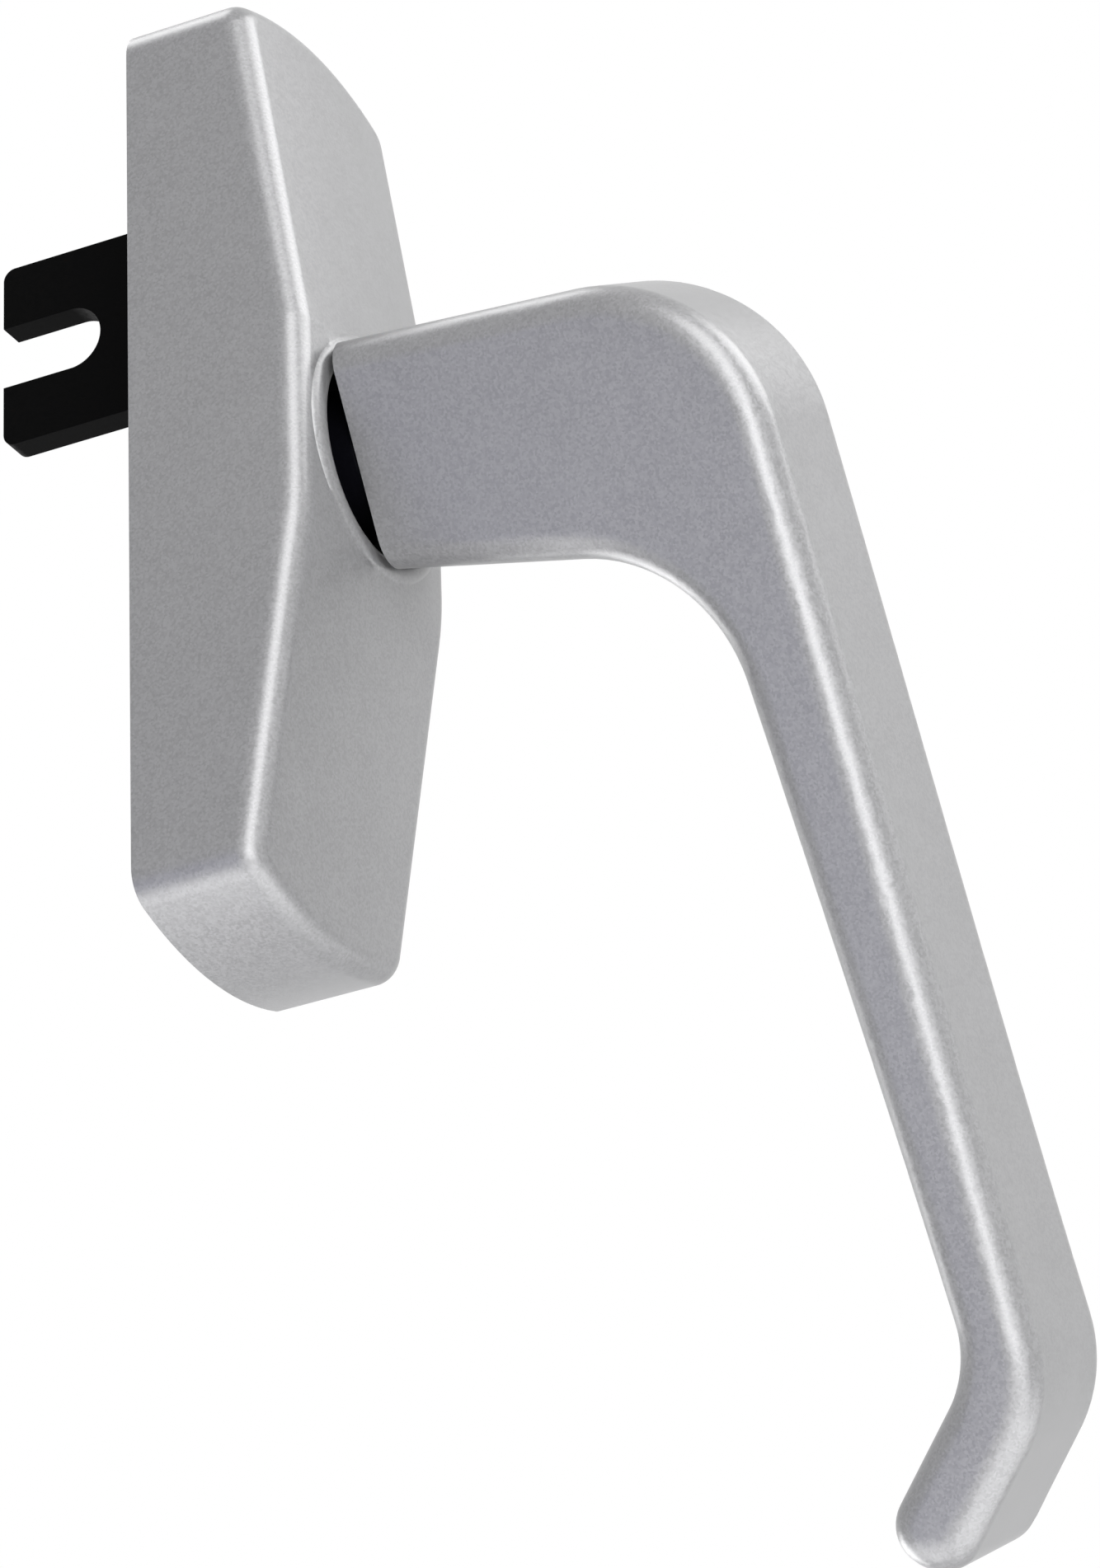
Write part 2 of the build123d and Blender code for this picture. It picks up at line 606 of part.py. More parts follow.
def rack_slider():
    """Sliding rack whose bridge carries the fork."""
    body = prism(rack_outline(), SLIDER_BACK_OUT, SLIDER_FRONT_OUT)
    half_x = FORK_THICKNESS / 2 + SEAT
    half_z = TENON_HEIGHT / 2 + SEAT
    for z in tenon_places():
        body -= slab(-half_x, half_x, SLIDER_BACK_OUT, SLIDER_FRONT_OUT, z - half_z, z + half_z)
    return slid(body)


def drive_fork():
    """Black steel fork: two tenons and a tab in the slider, and a slotted blade behind the housing."""
    low = FORK_CENTRE_CLOSED - FORK_HEIGHT / 2
    high = FORK_CENTRE_CLOSED + FORK_HEIGHT / 2
    half = FORK_THICKNESS / 2
    blade = Pos((FORK_SHOULDER + FORK_REACH) / 2, (low + high) / 2)
    blade *= RectangleRounded(FORK_REACH - FORK_SHOULDER, FORK_HEIGHT, FORK_CORNER_RADIUS)
    slot_radius = FORK_SLOT_WIDTH / 2
    slot_end = FORK_REACH - FORK_SLOT_DEPTH + slot_radius
    blade -= Pos(slot_end, FORK_CENTRE_CLOSED) * Circle(slot_radius)
    mouth = Rectangle(FORK_REACH - slot_end, FORK_SLOT_WIDTH)
    blade -= Pos((slot_end + FORK_REACH) / 2, FORK_CENTRE_CLOSED) * mouth
    body = extrude(Plane.YZ * blade, amount=half, both=True)
    tab_low = TAB_CENTRE - FORK_TAB_HEIGHT / 2
    tab_high = TAB_CENTRE + FORK_TAB_HEIGHT / 2
    body += slab(-half, half, -FORK_SHOULDER - half, SLIDER_BACK_OUT, tab_low, tab_high)
    for z in tenon_places():
        body += slab(-half, half, 0, SLIDER_FRONT_OUT, z - TENON_HEIGHT / 2, z + TENON_HEIGHT / 2)
    return slid(body)


def main():
    os.makedirs("parts", exist_ok=True)
    pieces = {
        "housing": housing(),
        "neck_bush": neck_bush(),
        "back_plate": back_plate(),
        "back_plate_screws": back_plate_screws(),
        "detent_ball_upper": detent_ball(1),
        "detent_ball_lower": detent_ball(-1),
        "detent_spring_upper": detent_spring(1),
        "detent_spring_lower": detent_spring(-1),
        "lever": lever(),
        "spindle": spindle(),
        "pinion": pinion(),
        "thrust_washer": thrust_washer(),
        "retaining_washer": retaining_washer(),
        "retaining_screw": retaining_screw(),
        "rack_slider": rack_slider(),
        "drive_fork": drive_fork(),
    }
    for node, shape in pieces.items():
        export_step(shape, f"parts/{node}.step")


main()
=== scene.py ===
"""Window handle: surfaces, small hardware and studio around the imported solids.

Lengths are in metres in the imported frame: X to the right seen from the room, Z up along the
housing, -Y out of the window towards the room. The origin is on the lever's turning axis, in the
mounting plane.
"""
from math import cos, floor, pi, radians, sin, tau

import bmesh
import bpy
from bpy.props import FloatProperty, FloatVectorProperty, IntProperty, PointerProperty
from mathutils import Matrix, Vector


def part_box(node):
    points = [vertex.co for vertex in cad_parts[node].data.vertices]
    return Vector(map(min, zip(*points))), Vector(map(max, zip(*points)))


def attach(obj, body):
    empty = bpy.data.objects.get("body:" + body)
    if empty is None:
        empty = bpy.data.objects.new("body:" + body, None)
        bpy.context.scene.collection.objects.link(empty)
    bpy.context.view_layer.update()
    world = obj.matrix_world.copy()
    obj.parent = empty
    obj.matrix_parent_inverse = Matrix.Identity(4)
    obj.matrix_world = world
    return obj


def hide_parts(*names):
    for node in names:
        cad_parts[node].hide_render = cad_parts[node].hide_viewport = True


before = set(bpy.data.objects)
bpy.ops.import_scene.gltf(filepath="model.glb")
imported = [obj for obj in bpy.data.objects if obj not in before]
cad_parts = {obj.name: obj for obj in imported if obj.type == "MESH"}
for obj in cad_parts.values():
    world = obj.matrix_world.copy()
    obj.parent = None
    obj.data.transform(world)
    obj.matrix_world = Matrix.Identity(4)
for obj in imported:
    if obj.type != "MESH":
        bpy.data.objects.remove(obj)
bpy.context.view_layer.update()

bl_info = {
    "name": "Window Handle",
    "version": (1, 0, 0),
    "blender": (4, 5, 0),
    "location": "3D View > Sidebar > Handle",
    "description": "Surfaces, small hardware and studio of a cranked window handle",
    "category": "Object",
}

MM = 0.001
WHITE = (1.0, 1.0, 1.0)

# How near points count as one, and the angles up to which faces count as flat and edges as smooth.
MERGE_DISTANCE = 0.002 * MM
FLAT_ANGLE = radians(0.3)
SHARP_ANGLE = radians(38)

# Fineness of the small hardware.
EDGE_SEGMENTS = 2
SCREW_SEGMENTS = 32
THREAD_ROWS = 8  # in one turn of a thread
THREAD_FADE = 0.5  # turns over which a thread runs out at each end
BALL_SUBDIVISIONS = 4
WIRE_SEGMENTS = 12
COIL_STEPS = 36  # in one turn of a spring

# A screw's cross recess is as long as its head's radius. Its width is a share of that length, its
# depth a share of the head's height, and its base a share of its mouth.
CROSS_WIDTH = 0.3
CROSS_DEPTH = 0.45
CROSS_BASE = 0.72

# A countersunk head's straight rim, and a pan head's outline from its crown to its seat, as shares
# of its radius and height.
COUNTERSUNK_RIM = 0.1 * MM
PAN_HEAD = ((0.8, 0.0), (0.95, 0.3), (1.0, 0.7), (1.0, 1.0))

# Nearly all of a noise texture's values lie in this range.
NOISE_SPREAD = {"From Min": 0.3, "From Max": 0.7}

# How far the floor reaches to each side, and the share of the camera's distance where its view
# starts.
FLOOR_REACH = 4.0
VIEW_START = 0.01

# Each lamp's direction from the aim point, its distance from there, its width and its height.
LAMPS = {
    "edge": ((-0.75, -0.63, 0.12), 0.9, 0.5, 1.3),
    "key": ((-0.52, -0.76, -0.38), 0.9, 0.7, 0.5),
    "front": ((0.20, -0.70, 0.68), 0.7, 0.5, 0.5),
    "low": ((0.60, -0.60, -0.50), 0.8, 0.5, 0.5),
    "bounce": ((0.05, -0.50, -0.86), 0.55, 0.5, 0.5),
    "below": ((-0.12, 0.40, -0.91), 0.5, 0.4, 0.4),
    "rim": ((-0.10, 0.40, 0.91), 0.8, 0.35, 0.35),
    "left": ((-0.75, 0.40, -0.50), 0.9, 0.6, 0.6),
    "back": ((0.40, 0.85, -0.30), 0.8, 0.5, 0.5),
}
COOL_LAMP = "left"


def linear(hex_colour):
    """Linear colour of an sRGB hex value such as #A0A0A0."""
    channels = [int(hex_colour[i:i + 2], 16) / 255 for i in (1, 3, 5)]
    return [c / 12.92 if c <= 0.04045 else ((c + 0.055) / 1.055) ** 2.4 for c in channels]


def colour_property(name, description, hex_colour):
    """A colour that a user may change, given as an sRGB hex value."""
    return FloatVectorProperty(
        name=name, description=description, subtype="COLOR", size=3, min=0.0, max=1.0,
        default=linear(hex_colour),
    )


def length_property(name, description, millimetres):
    """A length that a user may change, given in millimetres."""
    return FloatProperty(
        name=name, description=description, unit="LENGTH", precision=5, default=millimetres * MM
    )


def angle_property(name, description, degrees):
    """An angle that a user may change, given in degrees."""
    return FloatProperty(
        name=name, description=description, unit="ROTATION", default=radians(degrees)
    )


def power_property(name, description, watts):
    """A lamp's power that a user may change."""
    return FloatProperty(
        name=name, description=description, unit="POWER", min=0.0, default=watts
    )


class HandleFinishes(bpy.types.PropertyGroup):
    """Colours and grain sizes of the handle's surfaces."""

    silver: colour_property("Silver", "Middle tone of the silver lacquer", "#8A8A8B")
    silver_flake: length_property("Flake size", "Width of a metal flake in the lacquer", 0.28)
    silver_peel: length_property("Peel size", "Width of a wave in the sprayed lacquer", 1.6)
    nylon: colour_property("Nylon", "Moulded bush", "#07070B")
    nylon_grain: length_property("Nylon grain", "Width of a pit in the moulded texture", 0.3)
    zinc: colour_property("Zinc", "Bright zinc plating", "#B9BDC2")
    zinc_spangle: length_property("Spangle size", "Width of a patch in the plating's tint", 3.0)
    zinc_line: length_property("Rolling lines", "Spacing of the sheet's rolling lines", 0.2)
    steel: colour_property("Drawn steel", "Steel of the spindle, balls and springs", "#B2B2B0")
    steel_line: length_property("Drawing lines", "Spacing of the steel's drawing lines", 0.15)
    sinter: colour_property("Sintered steel", "Dull grey of the pinion", "#77777A")
    sinter_pore: length_property("Pore size", "Width of a pore in the sintered pinion", 0.22)
    black: colour_property("Black steel", "Black coating of the fork and rack", "#080808")
    black_grain: length_property("Coating grain", "Width of a grain in the coating", 0.5)


class HandleSizes(bpy.types.PropertyGroup):
    """Small sizes of the hardware that is modelled here."""

    stamped_edge: length_property("Stamped edge", "Rounding on stamped steel edges", 0.25)
    machined_edge: length_property("Machined edge", "Chamfer on machined and sintered edges", 0.12)
    moulded_edge: length_property("Moulded edge", "Rounding on moulded edges", 0.2)
    spring_wire: length_property("Spring wire", "Radius of the detent springs' wire", 0.3)
    spring_turns: IntProperty(
        name="Spring turns", description="Turns of a detent spring", default=6, min=2
    )
    plate_screw_head: length_property("Plate screw head", "Radius of a plate screw's head", 2.6)
    plate_screw_core: length_property("Plate screw core", "Radius at its thread's root", 0.95)
    plate_screw_crest: length_property("Plate screw crest", "Radius at its thread's crest", 1.25)
    plate_screw_pitch: length_property("Plate screw pitch", "Rise of its thread in a turn", 0.9)
    plate_screw_sink: length_property("Countersink depth", "Height of its conical head", 1.5)
    main_screw_head: length_property("Main screw head", "Height of the main screw's head", 1.6)
    main_screw_core: length_property("Main screw core", "Radius at its thread's root", 1.75)
    main_screw_crest: length_property("Main screw crest", "Radius at its thread's crest", 2.1)
    main_screw_pitch: length_property("Main screw pitch", "Rise of its thread in a turn", 0.8)


class HandleStage(bpy.types.PropertyGroup):
    """Camera, floor and light."""

    aim: FloatVectorProperty(
        name="Aim", description="Point that the camera looks at", subtype="TRANSLATION", size=3,
        default=(30.21 * MM, -26.76 * MM, -28.17 * MM),
    )
    distance: length_property("Distance", "From the camera to the aim point", 922.85)
    azimuth: angle_property("Azimuth", "Turn of the view to the left of straight on", 63.219)
    elevation: angle_property("Rise", "How far the view points upwards", 27.893)
    roll: angle_property("Roll", "Turn of the camera about its own line of sight", -1.88)
    lens: FloatProperty(name="Lens", description="Focal length", unit="CAMERA", default=189.27)
    floor_drop: length_property("Floor drop", "Height of the turning axis above the floor", 700)
    floor: colour_property("Floor", "Pale studio floor", "#F2F2F2")
    floor_level: FloatProperty(
        name="Floor level", description="How pale the floor shows", default=0.75
    )
    fill: colour_property("Fill", "Colour of the room's own light", "#DADAE6")
    fill_level: FloatProperty(
        name="Fill level", description="Strength of the room's own light", default=0.1
    )
    edge_level: power_property("Edge level", "Tall lamp on the left, which draws the edges", 8.8)
    key_level: power_property("Key level", "Wide lamp in front on the left, near the camera", 2.3)
    front_level: power_property("Front level", "Lamp above the front", 3.1)
    low_level: power_property("Low level", "Low lamp in front on the right", 1.3)
    bounce_level: power_property("Bounce level", "Lamp below the front", 1.35)
    below_level: power_property("Below level", "Lamp below the back", 0.9)
    rim_level: power_property("Rim level", "High lamp behind, for the neck's upper edge", 1.4)
    left_level: power_property("Left level", "Low cool lamp behind on the left", 0.3)
    back_level: power_property("Back level", "Lamp behind", 3.5)
    cool: colour_property("Cool light", "Colour of the low lamp behind on the left", "#7880FF")


def add_node(tree, kind, inputs=None, stops=(), **settings):
    """Adds a node with its settings; an input takes a value or another node's output socket.

    A colour ramp also takes its stops, each a place and a colour.
    """
    node = tree.nodes.new(kind)
    for name, value in settings.items():
        setattr(node, name, value)
    for key, value in (inputs or {}).items():
        if isinstance(value, bpy.types.NodeSocket):
            tree.links.new(value, node.inputs[key])
        else:
            node.inputs[key].default_value = value
    if stops:
        first, *between, last = stops
        elements = node.color_ramp.elements
        elements[0].position, elements[0].color = first
        elements[1].position, elements[1].color = last
        for place, colour in between:
            elements.new(place).color = colour
    return node


def empty_material(name):
    """A new material and its node tree, with no nodes yet."""
    material = bpy.data.materials.new(name)
    material.use_nodes = True
    material.node_tree.nodes.clear()
    return material, material.node_tree


def opaque(colour):
    """A colour with full opacity."""
    return (*colour, 1.0)


def shade(colour, factor):
    """A colour made lighter or darker, with full opacity."""
    return opaque([min(channel * factor, 1.0) for channel in colour])


def tint(colour, *factors):
    """A colour with a factor of its own for red, green and blue, with full opacity."""
    return opaque([channel * factor for channel, factor in zip(colour, factors)])


def silver_lacquer(finish):
    """Silver metallic lacquer sprayed on a die casting: satin, with fine flakes and faint peel."""
    material, tree = empty_material("satin_silver_lacquer")
    place = add_node(tree, "ShaderNodeTexCoord").outputs["Object"]
    # Flakes lie at slightly different angles, so single ones catch more or less light: this glint is
    # painted into the colour, each flake lighter or darker than the rest, and the same pattern sets
    # their roughness and bump. Real ones are too fine to show in the render, so they are drawn
    # coarser.
    flakes = add_node(
        tree, "ShaderNodeTexVoronoi",
        {"Vector": place, "Scale": 1 / finish.silver_flake}, feature="F1",
    ).outputs["Color"]
    flake_grain_and_glint = add_node(tree, "ShaderNodeSeparateColor", {"Color": flakes}).outputs["Red"]
    # Pigment gathers a little unevenly as it is sprayed, in clouds wider than the peel's waves.
    cloud_width = 4 * finish.silver_peel
    clouds = add_node(
        tree, "ShaderNodeTexNoise", {"Vector": place, "Scale": 1 / cloud_width, "Detail": 3.0}
    ).outputs["Fac"]
    tone = add_node(
        tree, "ShaderNodeMix", {"Factor": 0.3, "A": flake_grain_and_glint, "B": clouds}, data_type="FLOAT"
    ).outputs["Result"]
    # Painted glint: the ramp paints single flakes lighter and darker around the middle tone, with
    # some of the pigment's real clouds mixed in.
    dark, light = shade(finish.silver, 0.82), shade(finish.silver, 1.16)
    colour = add_node(
        tree, "ShaderNodeValToRGB", {"Fac": tone},
        stops=[(0.0, dark), (0.5, opaque(finish.silver)), (1.0, light)],
    ).outputs["Color"]
    roughness = add_node(
        tree, "ShaderNodeMapRange", {"Value": flake_grain_and_glint, "To Min": 0.32, "To Max": 0.44}
    ).outputs["Result"]
    peel = add_node(
        tree, "ShaderNodeTexNoise",
        {"Vector": place, "Scale": 1 / finish.silver_peel, "Detail": 1.0},
    ).outputs["Fac"]
    waves = add_node(
        tree, "ShaderNodeBump", {"Height": peel, "Strength": 0.10, "Distance": 0.06 * MM}
    ).outputs["Normal"]
    grain = add_node(
        tree, "ShaderNodeBump",
        {"Height": flake_grain_and_glint, "Strength": 0.16, "Distance": 0.02 * MM, "Normal": waves},
    ).outputs["Normal"]
    lacquer = add_node(
        tree, "ShaderNodeBsdfPrincipled",
        {
            "Base Color": colour,
            "Metallic": 0.45,
            "Roughness": roughness,
            "Normal": grain,
            "Coat Weight": 0.4,
            "Coat Roughness": 0.38,
        },
    ).outputs["BSDF"]
    add_node(tree, "ShaderNodeOutputMaterial", {"Surface": lacquer})
    return material


def moulded_nylon(finish):
    """Black nylon moulded with a fine spark-eroded texture: matt and nearly black."""
    material, tree = empty_material("moulded_black_nylon")
    place = add_node(tree, "ShaderNodeTexCoord").outputs["Object"]
    grain = add_node(
        tree, "ShaderNodeTexNoise",
        {"Vector": place, "Scale": 1 / finish.nylon_grain, "Detail": 2.0},
    ).outputs["Fac"]
    # Painted shade and highlight: the texture's pits are painted darker and its crests lighter, by
    # the same noise that raises them in the bump.
    dark, light = shade(finish.nylon, 0.7), shade(finish.nylon, 1.25)
    colour = add_node(
        tree, "ShaderNodeValToRGB", {"Fac": grain}, stops=[(0.25, dark), (0.75, light)]
    ).outputs["Color"]
    pits = add_node(
        tree, "ShaderNodeBump", {"Height": grain, "Strength": 0.25, "Distance": 0.03 * MM}
    ).outputs["Normal"]
    nylon = add_node(
        tree, "ShaderNodeBsdfPrincipled",
        {"Base Color": colour, "Roughness": 0.6, "Specular IOR Level": 0.02, "Normal": pits},
    ).outputs["BSDF"]
    add_node(tree, "ShaderNodeOutputMaterial", {"Surface": nylon})
    return material


def zinc_plating(finish):
    """Bright zinc plating on cold-rolled steel: rolling lines and a faint blue and straw tint."""
    material, tree = empty_material("bright_zinc_plated_steel")
    place = add_node(tree, "ShaderNodeTexCoord").outputs["Object"]
    # Rolling lines are many times longer than wide, so the pattern is stretched along Z.
    along = add_node(
        tree, "ShaderNodeMapping", {"Vector": place, "Scale": (1.0, 1.0, 0.04)}
    ).outputs["Vector"]
    lines = add_node(
        tree, "ShaderNodeTexNoise",
        {"Vector": along, "Scale": 1 / finish.zinc_line, "Detail": 3.0},
    ).outputs["Fac"]
    patches = add_node(
        tree, "ShaderNodeTexNoise",
        {"Vector": place, "Scale": 1 / finish.zinc_spangle, "Detail": 2.0},
    ).outputs["Fac"]
    blue = tint(finish.zinc, 0.93, 0.97, 1.03)
    straw = tint(finish.zinc, 1.03, 1.0, 0.92)
    colour = add_node(
        tree, "ShaderNodeValToRGB", {"Fac": patches},
        stops=[(0.3, blue), (0.55, opaque(finish.zinc)), (0.75, straw)],
    ).outputs["Color"]
    roughness = add_node(
        tree, "ShaderNodeMapRange",
        {"Value": lines, **NOISE_SPREAD, "To Min": 0.26, "To Max": 0.42},
    ).outputs["Result"]
    grooves = add_node(
        tree, "ShaderNodeBump", {"Height": lines, "Strength": 0.15, "Distance": 0.02 * MM}
    ).outputs["Normal"]
    zinc = add_node(
        tree, "ShaderNodeBsdfPrincipled",
        {"Base Color": colour, "Metallic": 1.0, "Roughness": roughness, "Normal": grooves},
    ).outputs["BSDF"]
    add_node(tree, "ShaderNodeOutputMaterial", {"Surface": zinc})
    return material


def drawn_steel(finish):
    """Bright drawn and ground steel: smooth, with fine drawing lines along the turning axis."""
    material, tree = empty_material("bright_drawn_steel")
    place = add_node(tree, "ShaderNodeTexCoord").outputs["Object"]
    # Drawing lines run along Y. Real ones are too fine to show, so they are drawn coarser.
    along = add_node(
        tree, "ShaderNodeMapping", {"Vector": place, "Scale": (1.0, 0.05, 1.0)}
    ).outputs["Vector"]
    lines = add_node(
        tree, "ShaderNodeTexNoise",
        {"Vector": along, "Scale": 1 / finish.steel_line, "Detail": 2.0},
    ).outputs["Fac"]
    dark, light = shade(finish.steel, 0.88), shade(finish.steel, 1.08)
    colour = add_node(
        tree, "ShaderNodeValToRGB", {"Fac": lines}, stops=[(0.3, dark), (0.7, light)]
    ).outputs["Color"]
    roughness = add_node(
        tree, "ShaderNodeMapRange",
        {"Value": lines, **NOISE_SPREAD, "To Min": 0.18, "To Max": 0.32},
    ).outputs["Result"]
    steel = add_node(
        tree, "ShaderNodeBsdfPrincipled",
        {"Base Color": colour, "Metallic": 1.0, "Roughness": roughness},
    ).outputs["BSDF"]
    add_node(tree, "ShaderNodeOutputMaterial", {"Surface": steel})
    return material


def sintered_steel(finish):
    """Pressed and sintered steel: dull grey with small pores, painted dark as shade in their
    hollows.
    """
    material, tree = empty_material("sintered_steel")
    place = add_node(tree, "ShaderNodeTexCoord").outputs["Object"]
    # Real pores are too fine to show in the render, so they are drawn coarser.
    pores = add_node(
        tree, "ShaderNodeTexVoronoi",
        {"Vector": place, "Scale": 1 / finish.sinter_pore}, feature="F1",
    ).outputs["Distance"]
    # Painted shade: each pore is painted dark at its middle and a little darker at its rim than the
    # flat steel; only its bump is real.
    pore_shade, rim, flat = [shade(finish.sinter, factor) for factor in (0.35, 0.9, 1.1)]
    colour = add_node(
        tree, "ShaderNodeValToRGB", {"Fac": pores}, stops=[(0.05, pore_shade), (0.25, rim), (0.8, flat)]
    ).outputs["Color"]
    pits = add_node(
        tree, "ShaderNodeBump", {"Height": pores, "Strength": 0.3, "Distance": 0.04 * MM}
    ).outputs["Normal"]
    steel = add_node(
        tree, "ShaderNodeBsdfPrincipled",
        {"Base Color": colour, "Metallic": 0.9, "Roughness": 0.5, "Normal": pits},
    ).outputs["BSDF"]
    add_node(tree, "ShaderNodeOutputMaterial", {"Surface": steel})
    return material


def black_coating(finish):
    """Thin black coating on stamped steel: low sheen, with a faint warm sheen painted on the crests
    of its grain.
    """
    material, tree = empty_material("black_coated_steel")
    place = add_node(tree, "ShaderNodeTexCoord").outputs["Object"]
    grain = add_node(
        tree, "ShaderNodeTexNoise",
        {"Vector": place, "Scale": 1 / finish.black_grain, "Detail": 3.0},
    ).outputs["Fac"]
    # Painted shade and sheen: the grain's hollows are painted darker and its crests a faint warm
    # brown, following the same noise as its bump.
    dark, warm_sheen = shade(finish.black, 0.6), tint(finish.black, 1.5, 1.2, 1.0)
    colour = add_node(
        tree, "ShaderNodeValToRGB", {"Fac": grain},
        stops=[(0.3, dark), (0.6, opaque(finish.black)), (0.8, warm_sheen)],
    ).outputs["Color"]
    roughness = add_node(
        tree, "ShaderNodeMapRange",
        {"Value": grain, **NOISE_SPREAD, "To Min": 0.42, "To Max": 0.6},
    ).outputs["Result"]
    pits = add_node(
        tree, "ShaderNodeBump", {"Height": grain, "Strength": 0.12, "Distance": 0.03 * MM}
    ).outputs["Normal"]
    coating = add_node(
        tree, "ShaderNodeBsdfPrincipled",
        {"Base Color": colour, "Roughness": roughness, "Specular IOR Level": 0.02, "Normal": pits},
    ).outputs["BSDF"]
    add_node(tree, "ShaderNodeOutputMaterial", {"Surface": coating})
    return material


FINISHES = {
    "silver_casting": silver_lacquer,
    "black_nylon": moulded_nylon,
    "zinc_plated_steel": zinc_plating,
    "bearing_steel": drawn_steel,
    "sintered_steel": sintered_steel,
    "black_steel": black_coating,
}
MADE = {}


def finish_of(slot):
    """The material of one of the record's slots, made once."""
    if slot not in MADE:
        MADE[slot] = FINISHES[slot](bpy.context.scene.handle_finishes)
    return MADE[slot]


def merged_copy(node):
    """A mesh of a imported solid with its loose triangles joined."""
    bm = bmesh.new()
    bm.from_mesh(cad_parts[node].data)
    bmesh.ops.remove_doubles(bm, verts=bm.verts, dist=MERGE_DISTANCE)
    bmesh.ops.dissolve_degenerate(bm, edges=bm.edges, dist=MERGE_DISTANCE)
    return bm


def add_piece(bm, name, slot, body, *stands_for):
    """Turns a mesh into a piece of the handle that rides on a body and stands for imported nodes."""
    for face in bm.faces:
        face.smooth = True
        face.material_index = 0
    for edge in bm.edges:
        edge.smooth = len(edge.link_faces) == 2 and edge.calc_face_angle() < SHARP_ANGLE
    mesh = bpy.data.meshes.new(name)
    bm.to_mesh(mesh)
    bm.free()
    mesh.materials.append(finish_of(slot))
    piece = bpy.data.objects.new(name, mesh)
    bpy.context.scene.collection.objects.link(piece)
    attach(piece, body)
    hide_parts(*stands_for)
    return piece


def even_shading(piece):
    """Keeps flat faces evenly lit beside the rounded edges they run into."""
    normals = piece.modifiers.new("even_shading", "WEIGHTED_NORMAL")
    normals.keep_sharp = True


def edged_piece(node, name, slot, body, edge_width):
    """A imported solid's copy with its sharp edges broken."""
    bm = merged_copy(node)
    bmesh.ops.dissolve_limit(bm, angle_limit=FLAT_ANGLE, verts=bm.verts, edges=bm.edges)
    piece = add_piece(bm, name, slot, body, node)
    edges = piece.modifiers.new("broken_edges", "BEVEL")
    edges.width = edge_width
    edges.segments = EDGE_SEGMENTS
    edges.limit_method = "ANGLE"
    edges.angle_limit = SHARP_ANGLE
    even_shading(piece)


def lathe(bm, points, segments):
    """Spins a profile of radius and height about Z and joins its seam and poles."""
    verts = [bm.verts.new((radius, 0.0, height)) for radius, height in points]
    edges = [bm.edges.new(pair) for pair in zip(verts, verts[1:])]
    bmesh.ops.spin(
        bm, geom=verts + edges, cent=(0, 0, 0), axis=(0, 0, 1), angle=tau, steps=segments,
        use_merge=True,
    )
    bmesh.ops.remove_doubles(bm, verts=bm.verts, dist=MERGE_DISTANCE)


def cut_thread(bm, start, end, core, crest, pitch):
    """Draws a tube's wall in to the root of a helical thread, which runs out at each end."""
    for vert in bm.verts:
        radius = vert.co.xy.length
        height = vert.co.z
        if abs(radius - crest) > MERGE_DISTANCE or not start < height < end:
            continue
        turn = Vector((1.0, 0.0)).angle_signed(vert.co.xy) / tau
        phase = height / pitch + turn
        depth = abs(2 * (phase - floor(phase)) - 1)
        turns_to_end = min(height - start, end - height) / pitch
        fade = min(turns_to_end, THREAD_FADE) / THREAD_FADE
        wanted = crest - (crest - core) * depth * fade
        vert.co.xy *= wanted / radius


def sink_cross(bm, length, width, depth):
    """Closes a screw head's open top at height zero with a tapered cross recess."""
    long, short = length / 2, width / 2
    corners = [(long, short), (short, short), (short, long)]
    outline = []
    for quarter in range(4):
        turn = Matrix.Rotation(quarter * pi / 2, 2)
        outline += [turn @ Vector(corner) for corner in corners]
    rim = [edge for edge in bm.edges if edge.is_boundary]
    verts = [bm.verts.new((x, y, 0.0)) for x, y in outline]
    mouth = [bm.edges.new(pair) for pair in zip(verts, verts[1:] + verts[:1])]
    bmesh.ops.triangle_fill(bm, edges=rim + mouth, use_beauty=True)
    sides = bmesh.ops.extrude_edge_only(bm, edges=mouth)["geom"]
    base_verts = [item for item in sides if isinstance(item, bmesh.types.BMVert)]
    base_edges = [item for item in sides if isinstance(item, bmesh.types.BMEdge)]
    bmesh.ops.scale(bm, verts=base_verts, vec=(CROSS_BASE, CROSS_BASE, 1.0))
    bmesh.ops.translate(bm, verts=base_verts, vec=(0.0, 0.0, depth))
    bmesh.ops.contextual_create(bm, geom=base_edges)


def cross_head_screw(head, shank, head_radius, core, crest, pitch):
    """A screw along Z with its head's top at height zero: head, threaded shank and blunt point."""
    bm = bmesh.new()
    root = head[-1][1]
    tip = root + shank
    rows = int(THREAD_ROWS * shank / pitch)
    wall = [(crest, root + shank * row / rows) for row in range(rows)]
    point = [(crest, tip - pitch), (core, tip), (0.0, tip)]
    lathe(bm, head + wall[:-THREAD_ROWS] + point, SCREW_SEGMENTS)
    cut_thread(bm, root, tip - pitch, core, crest, pitch)
    sink_cross(bm, head_radius, head_radius * CROSS_WIDTH, root * CROSS_DEPTH)
    bmesh.ops.recalc_face_normals(bm, faces=bm.faces)
    return bm


def into_housing(x, y, z):
    """Places a screw modelled along Z so that it points out of the window from the back."""
    return Matrix.Translation((x, y, z)) @ Matrix.Rotation(pi / 2, 4, "X")


def plate_screw(sizes, length):
    """One of the back plate's countersunk screws, along Z."""
    head, sink = sizes.plate_screw_head, sizes.plate_screw_sink
    core, crest = sizes.plate_screw_core, sizes.plate_screw_crest
    profile = [(head, 0.0), (head, COUNTERSUNK_RIM), (crest, sink)]
    return cross_head_screw(profile, length - sink, head, core, crest, sizes.plate_screw_pitch)


